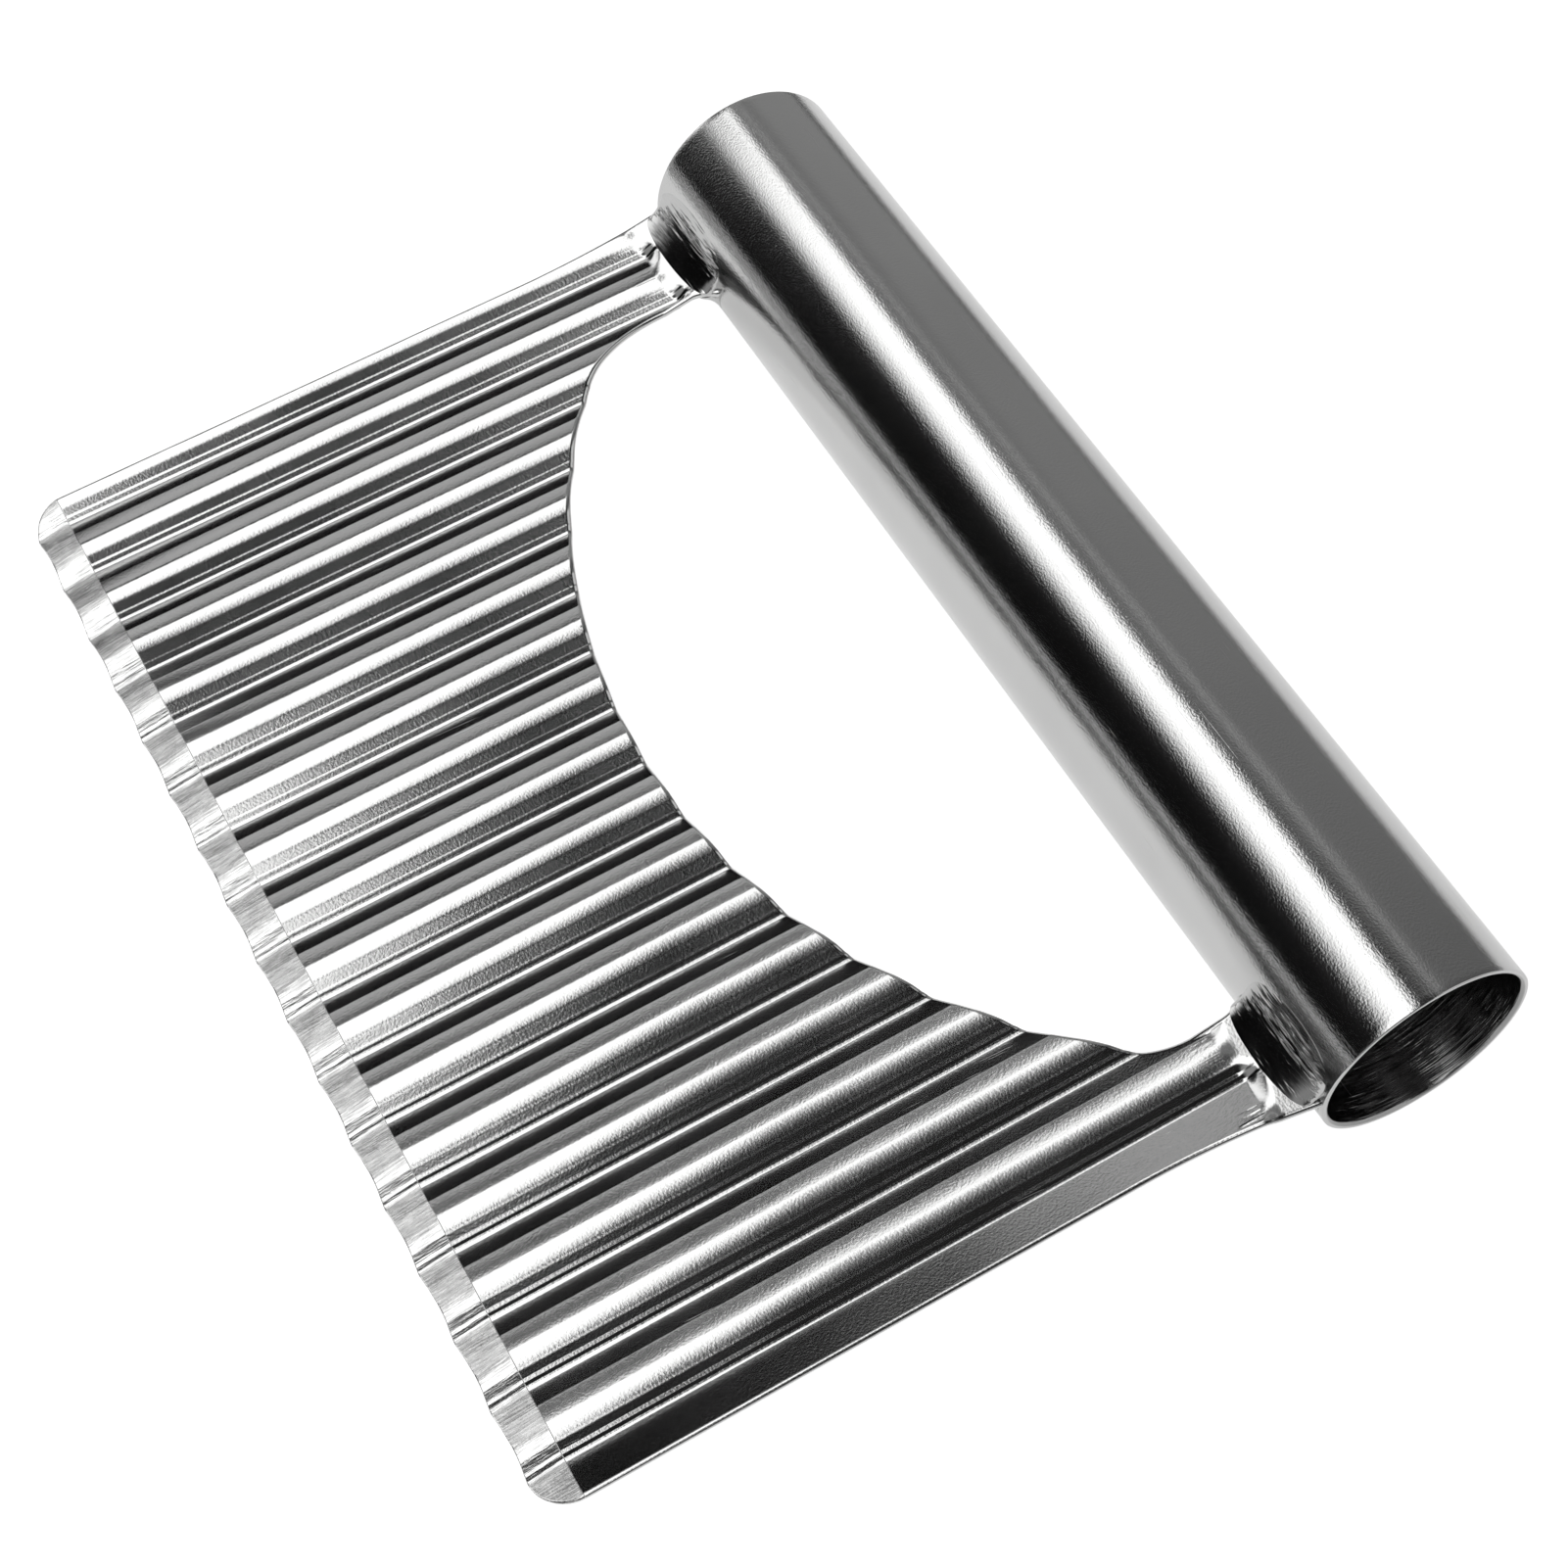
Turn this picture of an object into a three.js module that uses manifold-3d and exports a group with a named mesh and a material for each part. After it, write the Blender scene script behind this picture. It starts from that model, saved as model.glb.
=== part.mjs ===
// Crinkle cutter: a corrugated steel blade welded by its two arms to an open tube handle.
// Millimetres, +Z up, +X along the handle, +Y from the cutting edge to the handle.
// The tool lies as on a table, on its cutting edge and on the underside of its tube.

import * as THREE from 'three';
import { mergeVertices } from 'three/addons/utils/BufferGeometryUtils.js';
import Module from 'manifold-3d';

// Corrugated sheet: round crests, tighter valleys, one valley just left of the centre line
const WAVE_PITCH = 8.22;
const WAVE_COUNT = 17;
const WAVE_OFFSET = -0.45;
const WAVE_DEPTH = 1.2;
const VALLEY_RADIUS = 2.4;
const SHEET_THICKNESS = 0.9;

// Cutting edge, ground from above
const BEVEL_WIDTH = 4;
const EDGE_THICKNESS = 0.15;
const CORNER_RADIUS = 4.25;

// Finger opening: sheet in front of its lowest point, and room from there to the tube
const BLADE_DEPTH = 47.2;
const FINGER_GAP = 38.95;
const LEFT_OPENING_RADIUS = 19;
const RIGHT_OPENING_RADIUS = 10;

// Arms: straight-sided for a short way, with ridges that die away before the flattened feet
const LEFT_ARM_WIDTH = 13.3;
const RIGHT_ARM_WIDTH = 11.5;
const ARM_LENGTH = 6.6;
const OUTER_FLARE_LENGTH = 20;
const INNER_FLARE_LENGTH = 3;
const INNER_FLARE = 1.2;
const FOOT_INSET = 0.2;
const RIDGE_FADE_LENGTH = 3;
const FLAT_FOOT_LENGTH = 3.4;

// Tube handle
const TUBE_RADIUS = 12.5;
const TUBE_WALL = 0.8;
const TUBE_OVERHANG = 2;

// Weld fillets between each foot and the tube, above and below
const WELD_FOOT_LEG = 3.3;
const WELD_TUBE_LEG = 5.2;
const WELD_TOE = 0.25;
const WELD_END_INSET = 0.8;
const WELD_END_SCALE = 0.5;
const SEAT_GAP = 0.3;

// Fineness of the faceted surfaces
const STEPS_PER_WAVE = 12;
const FADE_STEPS = 5;
const CURVE_STEPS = 12;
const TUBE_SEGMENTS = 96;
const WELD_STATIONS = 8;
const WELD_ARC_STEPS = 6;
const TRIM_MARGIN = 1;

// Sizes that follow from the ones above
const bladeWidth = WAVE_PITCH * WAVE_COUNT;
const halfWidth = bladeWidth / 2;
const tubeAxisY = BLADE_DEPTH + FINGER_GAP + TUBE_RADIUS;
const tubeLength = bladeWidth + 2 * TUBE_OVERHANG;
const footEndY = tubeAxisY - TUBE_RADIUS - SEAT_GAP;
const fadeEndY = footEndY - FLAT_FOOT_LENGTH;
const fadeStartY = fadeEndY - RIDGE_FADE_LENGTH;
const footOuterX = halfWidth + TUBE_OVERHANG - FOOT_INSET;
const arms = [
  { side: 'left', towards: -1, width: LEFT_ARM_WIDTH, openingRadius: LEFT_OPENING_RADIUS },
  { side: 'right', towards: 1, width: RIGHT_ARM_WIDTH, openingRadius: RIGHT_OPENING_RADIUS },
];

const wasm = await Module();
wasm.setup();

// Turns a three.js geometry into a solid that can be cut, with its shared corners merged.
function toSolid(geometry) {
  const bare = geometry.clone();
  bare.deleteAttribute('normal');
  bare.deleteAttribute('uv');
  const merged = mergeVertices(bare);
  const vertProperties = new Float32Array(merged.attributes.position.array);
  const triVerts = new Uint32Array(merged.index.array);
  return new wasm.Manifold(new wasm.Mesh({ numProp: 3, vertProperties, triVerts }));
}

// Turns a cut solid back into a three.js geometry.
function toGeometry(solid) {
  const mesh = solid.getMesh();
  const geometry = new THREE.BufferGeometry();
  geometry.setAttribute('position', new THREE.BufferAttribute(mesh.vertProperties, 3));
  geometry.setIndex(new THREE.BufferAttribute(mesh.triVerts, 1));
  geometry.computeVertexNormals();
  return geometry;
}

// Lofts a closed solid through rings of points that follow each other along +X or +Y.
function loft(rings, axis) {
  const [across, up] = axis === 'x' ? ['y', 'z'] : ['z', 'x'];
  const flatten = (ring) => ring.map((point) => new THREE.Vector2(point[across], point[up]));
  const clockwise = THREE.ShapeUtils.isClockWise(flatten(rings[0]));
  const ordered = clockwise ? rings.map((ring) => [...ring].reverse()) : rings;
  const size = ordered[0].length;
  const indices = [];
  for (let row = 0; row < ordered.length - 1; row += 1) {
    for (let i = 0; i < size; i += 1) {
      const here = row * size + i;
      const next = row * size + ((i + 1) % size);
      indices.push(here, next, next + size);
      indices.push(here, next + size, here + size);
    }
  }
  const lastStart = (ordered.length - 1) * size;
  for (const [a, b, c] of THREE.ShapeUtils.triangulateShape(flatten(ordered[0]), [])) {
    indices.push(a, c, b);
  }
  for (const [a, b, c] of THREE.ShapeUtils.triangulateShape(flatten(ordered.at(-1)), [])) {
    indices.push(lastStart + a, lastStart + b, lastStart + c);
  }
  const geometry = new THREE.BufferGeometry().setFromPoints(ordered.flat());
  geometry.setIndex(indices);
  geometry.computeVertexNormals();
  return geometry;
}

// Middle line of the corrugation at x: its height and slope, from two arcs that share a tangent.
function wave(x) {
  const halfPitch = WAVE_PITCH / 2;
  const bothRadii = (halfPitch ** 2 + WAVE_DEPTH ** 2) / (2 * WAVE_DEPTH);
  const crestRadius = bothRadii - VALLEY_RADIUS;
  const along = x - WAVE_OFFSET;
  const fromValley = along - WAVE_PITCH * Math.round(along / WAVE_PITCH);
  const distance = Math.abs(fromValley);
  const side = Math.sign(fromValley);
  if (distance < (VALLEY_RADIUS * halfPitch) / bothRadii) {
    const drop = Math.sqrt(VALLEY_RADIUS ** 2 - distance ** 2);
    return { height: VALLEY_RADIUS - WAVE_DEPTH / 2 - drop, slope: (side * distance) / drop };
  }
  const toCrest = halfPitch - distance;
  const rise = Math.sqrt(crestRadius ** 2 - toCrest ** 2);
  return { height: WAVE_DEPTH / 2 - crestRadius + rise, slope: (side * toCrest) / rise };
}

// One cross-section of the sheet at y: top line left to right, then the bottom line back.
function sheetRing(y) {
  const ridge = 1 - THREE.MathUtils.smoothstep(y, fadeStartY, fadeEndY);
  const ground = THREE.MathUtils.clamp(y / BEVEL_WIDTH, 0, 1);
  const below = -SHEET_THICKNESS / 2;
  const above = below + THREE.MathUtils.lerp(EDGE_THICKNESS, SHEET_THICKNESS, ground);
  const step = WAVE_PITCH / STEPS_PER_WAVE;
  const columns = Math.ceil((footOuterX + Math.abs(WAVE_OFFSET) + TRIM_MARGIN) / step);
  const line = (offset) => {
    const points = [];
    for (let column = -columns; column <= columns; column += 1) {
      const x = WAVE_OFFSET + column * step;
      const { height, slope } = wave(x);
      const tilt = Math.atan(slope * ridge);
      const z = height * ridge + offset * Math.cos(tilt);
      points.push(new THREE.Vector3(x - offset * Math.sin(tilt), y, z));
    }
    return points;
  };
  return [...line(above), ...line(below).reverse()];
}

// Corrugated sheet, larger than the blade all round.
function corrugatedSheet() {
  const rows = [-TRIM_MARGIN, 0, BEVEL_WIDTH];
  for (let step = 0; step <= FADE_STEPS; step += 1) {
    rows.push(THREE.MathUtils.lerp(fadeStartY, fadeEndY, step / FADE_STEPS));
  }
  rows.push(footEndY + TRIM_MARGIN);
  return loft(rows.map(sheetRing), 'y');
}

// Inner side of an arm, measured out from the middle of the blade.
function armInnerX(arm) {
  return halfWidth - arm.width;
}

// Inner corner of an arm's foot, where the side flares out towards the tube.
function footInnerX(arm) {
  return armInnerX(arm) - INNER_FLARE;
}

// Half of the blade's plan outline, from the cutting edge round one arm to the middle of the opening.
function halfOutline(arm) {
  const innerX = armInnerX(arm);
  const radius = arm.openingRadius;
  const cornerX = innerX - radius;
  const cornerY = footEndY - ARM_LENGTH;
  const rise = cornerY - BLADE_DEPTH;
  const arcRadius = (cornerX ** 2 + rise ** 2 - radius ** 2) / (2 * (rise - radius));
  const arcY = BLADE_DEPTH + arcRadius;
  const down = -Math.PI / 2;
  const turn = Math.atan2(cornerX, arcY - cornerY);
  const outerFlareY = footEndY - OUTER_FLARE_LENGTH;
  const innerFlareY = footEndY - INNER_FLARE_LENGTH;
  const path = new THREE.Path();
  path.moveTo(halfWidth - CORNER_RADIUS, 0);
  path.absarc(halfWidth - CORNER_RADIUS, CORNER_RADIUS, CORNER_RADIUS, down, 0, false);
  path.lineTo(halfWidth, outerFlareY);
  path.quadraticCurveTo(halfWidth, (outerFlareY + footEndY) / 2, footOuterX, footEndY);
  path.lineTo(footInnerX(arm), footEndY);
  path.quadraticCurveTo(innerX, (innerFlareY + footEndY) / 2, innerX, innerFlareY);
  path.absarc(cornerX, cornerY, radius, 0, down + turn, true);
  path.absarc(0, arcY, arcRadius, down + turn, down, true);
  return path.getPoints(CURVE_STEPS);
}

// Plan outline of the blade: cutting edge, rounded corners, flared arms and the D-shaped opening.
function bladeOutline() {
  const [left, right] = arms.map(halfOutline);
  const mirrored = left.slice(0, -1).map((point) => new THREE.Vector2(-point.x, point.y));
  return new THREE.Shape([...right, ...mirrored.reverse()]);
}

// Blade: the corrugated sheet trimmed to its outline.
function bladeGeometry() {
  const depth = 2 * (WAVE_DEPTH + SHEET_THICKNESS + TRIM_MARGIN);
  const trim = new THREE.ExtrudeGeometry(bladeOutline(), { depth, bevelEnabled: false });
  trim.translate(0, 0, -depth / 2);
  return toGeometry(toSolid(corrugatedSheet()).intersect(toSolid(trim)));
}

// Tube handle: a thin wall turned about its own axis, open at both ends.
function tubeGeometry() {
  const inner = TUBE_RADIUS - TUBE_WALL;
  const end = tubeLength / 2;
  const profile = [
    new THREE.Vector2(inner, -end),
    new THREE.Vector2(TUBE_RADIUS, -end),
    new THREE.Vector2(TUBE_RADIUS, end),
    new THREE.Vector2(inner, end),
    new THREE.Vector2(inner, -end),
  ];
  const geometry = new THREE.LatheGeometry(profile, TUBE_SEGMENTS);
  geometry.rotateZ(Math.PI / 2);
  geometry.translate(0, tubeAxisY, 0);
  return geometry;
}

// One cross-section of a weld at x: the foot below, the tube behind and a hollow fillet in front.
function weldRing(x, size) {
  const seat = SHEET_THICKNESS / 2 + SEAT_GAP;
  const tubeSeat = TUBE_RADIUS + SEAT_GAP;
  const skin = tubeSeat + WELD_TOE;
  const low = Math.asin(seat / tubeSeat);
  const high = low + (WELD_TUBE_LEG * size) / tubeSeat;
  const onTube = (radius, angle) => {
    return new THREE.Vector2(tubeAxisY - radius * Math.cos(angle), radius * Math.sin(angle));
  };
  const toe = new THREE.Vector2(onTube(tubeSeat, low).x - WELD_FOOT_LEG * size, seat + WELD_TOE);
  const hollowY = tubeAxisY - (skin - toe.y * Math.sin(high)) / Math.cos(high);
  const hollow = new THREE.Vector2(hollowY, toe.y);
  const face = new THREE.QuadraticBezierCurve(onTube(skin, high), hollow, toe);
  const section = [new THREE.Vector2(toe.x, seat)];
  for (let step = 0; step <= WELD_ARC_STEPS; step += 1) {
    section.push(onTube(tubeSeat, THREE.MathUtils.lerp(low, high, step / WELD_ARC_STEPS)));
  }
  section.push(...face.getPoints(WELD_ARC_STEPS));
  return section.map((point) => new THREE.Vector3(x, point.x, point.y));
}

// Weld fillet along one foot, smaller at its two ends.
function weldGeometry(arm) {
  const halfLength = (footOuterX - footInnerX(arm)) / 2 - WELD_END_INSET;
  const rings = [];
  for (let station = 0; station <= WELD_STATIONS; station += 1) {
    const around = Math.PI * (station / WELD_STATIONS - 1);
    const x = halfLength * Math.cos(around);
    rings.push(weldRing(x, THREE.MathUtils.lerp(WELD_END_SCALE, 1, -Math.sin(around))));
  }
  return loft(rings, 'x');
}

// A named piece with its own material.
function piece(name, geometry, color, roughness) {
  const material = new THREE.MeshStandardMaterial({ color, roughness, metalness: 1 });
  const mesh = new THREE.Mesh(geometry, material);
  mesh.name = name;
  return mesh;
}

// Two welds on each foot: a half turn about the blade's middle line takes an upper one to a lower one.
function armWelds(arm) {
  const footCentre = (footOuterX + footInnerX(arm)) / 2;
  const upper = piece(`weld_${arm.side}_upper`, weldGeometry(arm), 0xb4b4b2, 0.22);
  const lower = piece(`weld_${arm.side}_lower`, weldGeometry(arm), 0xb4b4b2, 0.22);
  upper.position.x = arm.towards * footCentre;
  lower.position.x = arm.towards * footCentre;
  lower.rotation.y = Math.PI;
  return [upper, lower];
}

// Tilt at which the cutting edge and the tube touch the same table.
const edgeDrop = (WAVE_DEPTH + SHEET_THICKNESS) / 2;
const edgeToAxis = Math.hypot(tubeAxisY, edgeDrop);
const restTilt = Math.asin(TUBE_RADIUS / edgeToAxis) - Math.atan2(edgeDrop, tubeAxisY);

const cutter = new THREE.Group();
cutter.add(piece('blade', bladeGeometry(), 0xc2c2c0, 0.18));
cutter.add(piece('handle_tube', tubeGeometry(), 0xb8b8b6, 0.24));
cutter.add(...arms.flatMap(armWelds));
cutter.rotation.x = restTilt;

// The origin is on the table, under the middle of the tool.
const bounds = new THREE.Box3().setFromObject(cutter, true);
const middle = bounds.getCenter(new THREE.Vector3());
cutter.position.set(-middle.x, -middle.y, -bounds.min.z);

const part = new THREE.Group();
part.add(cutter);

export default part;
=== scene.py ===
"""Dresses a crinkle cutter: a corrugated steel blade, its tube handle and the welds between them.

Sizes are millimetres in the tool's own frame: +X along the cutting edge, +Y from the edge to the
handle, +Z up from the middle of the sheet. RestPose lays that frame on the table, in metres.
"""

import logging
import math
from dataclasses import dataclass, replace
from enum import Enum

import bpy
import numpy as np
from bpy.types import Material, Mesh, Node, NodeInputs, NodeOutputs, NodeSocket, NodeTree, Object, World
from mathutils import Matrix, Vector
from mathutils.geometry import delaunay_2d_cdt


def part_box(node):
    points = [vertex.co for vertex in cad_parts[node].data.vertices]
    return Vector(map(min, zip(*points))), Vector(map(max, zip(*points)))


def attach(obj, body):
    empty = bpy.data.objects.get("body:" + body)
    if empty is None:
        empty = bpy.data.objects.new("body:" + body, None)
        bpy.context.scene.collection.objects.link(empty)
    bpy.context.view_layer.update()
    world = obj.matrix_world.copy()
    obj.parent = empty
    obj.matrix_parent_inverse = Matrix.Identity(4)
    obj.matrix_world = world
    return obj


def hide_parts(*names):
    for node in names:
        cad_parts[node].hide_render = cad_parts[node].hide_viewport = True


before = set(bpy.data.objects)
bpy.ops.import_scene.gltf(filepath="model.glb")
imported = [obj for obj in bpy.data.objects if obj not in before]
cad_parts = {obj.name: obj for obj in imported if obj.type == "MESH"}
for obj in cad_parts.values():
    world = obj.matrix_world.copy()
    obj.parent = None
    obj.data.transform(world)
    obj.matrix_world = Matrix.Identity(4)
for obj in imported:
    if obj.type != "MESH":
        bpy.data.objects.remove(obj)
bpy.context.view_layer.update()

MM = 0.001
LOG = logging.getLogger("crinkle_cutter")
FLOAT, VECTOR = "NodeSocketFloat", "NodeSocketVector"
GEOMETRY, MATERIAL = "NodeSocketGeometry", "NodeSocketMaterial"
BORE_ATTRIBUTE = "bore"


class Side(Enum):
    """End of the tool that a piece belongs to; the value is its direction along X."""

    LEFT = -1
    RIGHT = 1


class Face(Enum):
    """Face of the sheet that a weld lies on; the value is its direction along Z."""

    UPPER = 1
    LOWER = -1


class Pattern(Enum):
    """Where a finish reads its pattern coordinates from."""

    OBJECT = "Object"
    SHEET = "sheet"


class Graph:
    """Adds nodes to one node tree and links them."""

    def __init__(self, tree: NodeTree) -> None:
        """Keeps the tree that nodes are added to."""
        self.tree = tree

    def add(self, kind: str, inputs: dict | None = None, **settings: object) -> Node:
        """Adds a node.

        Args:
            kind: Type name of the node.
            inputs: Values or sockets to feed, by input name or index.
            settings: Properties to set on the node first.

        Returns:
            The new node.
        """
        node = self.tree.nodes.new(kind)
        for name, value in settings.items():
            setattr(node, name, value)
        for key, value in (inputs or {}).items():
            self.feed(node.inputs[key], value)
        return node

    def feed(self, socket: NodeSocket, value: object) -> None:
        """Links a socket to another one, or sets its constant.

        Args:
            socket: Input to feed.
            value: Output socket or constant.
        """
        if isinstance(value, NodeSocket):
            self.tree.links.new(value, socket)
        else:
            socket.default_value = value

    def math(self, operation: str, *values: object) -> NodeSocket:
        """Adds a Math node that works on sockets or numbers, in order."""
        return self.add("ShaderNodeMath", dict(enumerate(values)), operation=operation).outputs[0]

    def vector_math(self, operation: str, *values: object) -> NodeSocket:
        """Adds a Vector Math node that works on sockets or vectors, in order."""
        inputs = dict(enumerate(values))
        return self.add("ShaderNodeVectorMath", inputs, operation=operation).outputs["Vector"]

    def scale(self, vector: object, factor: object) -> NodeSocket:
        """Adds a Vector Math node that multiplies a vector by a number."""
        inputs = {0: vector, "Scale": factor}
        return self.add("ShaderNodeVectorMath", inputs, operation="SCALE").outputs["Vector"]

    def ramp(self, value: object, low: object, high: object, start: object = 0.0, end: object = 1.0,
             kind: str = "SMOOTHSTEP") -> NodeSocket:
        """Adds a Map Range node: a value at low gives start, one at high gives end."""
        inputs = {"Value": value, "From Min": low, "From Max": high, "To Min": start, "To Max": end}
        return self.add("ShaderNodeMapRange", inputs, interpolation_type=kind).outputs["Result"]

    def blend(self, share: object, first: object, second: object) -> NodeSocket:
        """Goes from a first number to a second one by a share from 0 to 1."""
        return self.ramp(share, 0.0, 1.0, first, second, "LINEAR")

    def noise(self, vector: object, scale: float = 1.0, detail: float = 2.0) -> NodeSocket:
        """Adds a Noise Texture node of a frequency and a number of finer layers."""
        inputs = {"Vector": vector, "Scale": scale, "Detail": detail}
        return self.add("ShaderNodeTexNoise", inputs, noise_dimensions="3D").outputs["Fac"]

    def mix(self, factor: object, first: tuple, second: tuple) -> NodeSocket:
        """Adds a Mix node for colours.

        Args:
            factor: Share of the second colour.
            first: Colour at 0.
            second: Colour at 1.

        Returns:
            The mixed colour.
        """
        node = self.add("ShaderNodeMix", data_type="RGBA")
        for name, value in (("Factor", factor), ("A", first), ("B", second)):
            wanted = "VALUE" if name == "Factor" else "RGBA"
            socket = next(s for s in node.inputs if s.name == name and s.type == wanted)
            self.feed(socket, value)
        return next(s for s in node.outputs if s.type == "RGBA")


def new_group(name: str, kind: str, inputs: dict[str, str], outputs: dict[str, str],
              ) -> tuple[Graph, NodeOutputs, NodeInputs]:
    """Makes a node group with its interface and its two end nodes.

    Args:
        name: Name of the group.
        kind: Type name of the tree.
        inputs: Socket type of each input, by name.
        outputs: Socket type of each output, by name.

    Returns:
        A graph that adds nodes to the group, the sockets that give its inputs and those that take its
        outputs.
    """
    tree = bpy.data.node_groups.new(name, kind)
    for direction, sockets in (("INPUT", inputs), ("OUTPUT", outputs)):
        for socket, socket_type in sockets.items():
            tree.interface.new_socket(name=socket, in_out=direction, socket_type=socket_type)
    graph = Graph(tree)
    return graph, graph.add("NodeGroupInput").outputs, graph.add("NodeGroupOutput").inputs


def empty_graph(block: Material | World) -> Graph:
    """Gives a material or a world a node tree with nothing in it.

    Args:
        block: The material or world.

    Returns:
        A graph that adds nodes to it.
    """
    block.use_nodes = True
    block.node_tree.nodes.clear()
    return Graph(block.node_tree)


def new_object(name: str, mesh: Mesh) -> Object:
    """Links a mesh into the scene as an object at the origin.

    Args:
        name: Name of the object.
        mesh: Its mesh.

    Returns:
        The new object.
    """
    made = bpy.data.objects.new(name, mesh)
    bpy.context.scene.collection.objects.link(made)
    return made


def solid_mesh(name: str, points: np.ndarray, faces: list[tuple[int, ...]]) -> Mesh:
    """Makes a smooth mesh from points and faces.

    Args:
        name: Name of the mesh.
        points: Corner places, one row each.
        faces: Corner numbers of each face.

    Returns:
        The new mesh.
    """
    mesh = bpy.data.meshes.new(name)
    mesh.from_pydata(points.tolist(), [], faces)
    mesh.validate()
    mesh.shade_smooth()
    return mesh


def ring_faces(rings: int, size: int, closed: bool) -> list[tuple[int, ...]]:
    """Joins rings of points, each of one size, by four-sided faces.

    Args:
        rings: Number of rings.
        size: Points in each ring.
        closed: Whether the last ring joins the first.

    Returns:
        Corner numbers of each face.
    """
    faces = []
    for ring in range(rings if closed else rings - 1):
        here, there = ring * size, ((ring + 1) % rings) * size
        for i in range(size):
            j = (i + 1) % size
            faces.append((here + i, here + j, there + j, there + i))
    return faces


def arc_points(centre: tuple[float, float], radius: float, start: float, end: float,
               spacing: float) -> list[tuple[float, float]]:
    """Points on an arc, both ends included.

    Args:
        centre: Centre of the arc.
        radius: Its radius.
        start: First angle in radians.
        end: Last angle in radians.
        spacing: Largest distance between points.

    Returns:
        The points in order.
    """
    steps = max(2, math.ceil(abs(end - start) * radius / spacing))
    angles = [start + (end - start) * step / steps for step in range(steps + 1)]
    return [(centre[0] + radius * math.cos(a), centre[1] + radius * math.sin(a)) for a in angles]


def bezier_points(start: tuple[float, float], control: tuple[float, float], end: tuple[float, float],
                  steps: int) -> list[tuple[float, float]]:
    """Points on a quadratic curve, both ends included.

    Args:
        start: First point.
        control: Point that the curve leans towards.
        end: Last point.
        steps: Number of stretches.

    Returns:
        The points in order.
    """
    points = []
    for step in range(steps + 1):
        t = step / steps
        weights = ((1 - t) ** 2, 2 * t * (1 - t), t ** 2)
        points.append(tuple(sum(w * p[k] for w, p in zip(weights, (start, control, end))) for k in (0, 1)))
    return points


def outward(loop: np.ndarray) -> np.ndarray:
    """Mitred outward directions at the corners of an anticlockwise loop.

    Args:
        loop: Corners of the loop, one row each.

    Returns:
        One direction a corner, long enough to move both neighbouring sides by one.
    """
    ahead = np.roll(loop, -1, axis=0) - loop
    ahead /= np.linalg.norm(ahead, axis=1, keepdims=True)
    normal = np.column_stack((ahead[:, 1], -ahead[:, 0]))
    before = np.roll(normal, 1, axis=0)
    return (normal + before) / (1 + np.sum(normal * before, axis=1, keepdims=True))


@dataclass(frozen=True)
class RestPose:
    """How the tool lies on the table: tilted about X until edge and tube touch it."""

    tilt: float
    shift: Vector

    @classmethod
    def on_table(cls, axis_distance: float, edge_drop: float) -> "RestPose":
        """Works the pose out from the tube in the frame.

        Args:
            axis_distance: Distance from the cutting edge to the tube's axis.
            edge_drop: Depth of the lowest edge point under the middle of the sheet.

        Returns:
            The pose.
        """
        low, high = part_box("handle_tube")
        radius = (high.z - low.z) / 2 / MM
        reach = math.hypot(axis_distance, edge_drop)
        tilt = math.asin(radius / reach) - math.atan2(edge_drop, axis_distance)
        along = Vector((0.0, math.cos(tilt), math.sin(tilt))) * axis_distance * MM
        return cls(tilt, (low + high) / 2 - along)

    def place(self, mesh: Mesh) -> None:
        """Moves a mesh from the tool's frame to the row frame."""
        turn = Matrix.Rotation(self.tilt, 4, "X") @ Matrix.Scale(MM, 4)
        mesh.transform(Matrix.Translation(self.shift) @ turn)


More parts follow.
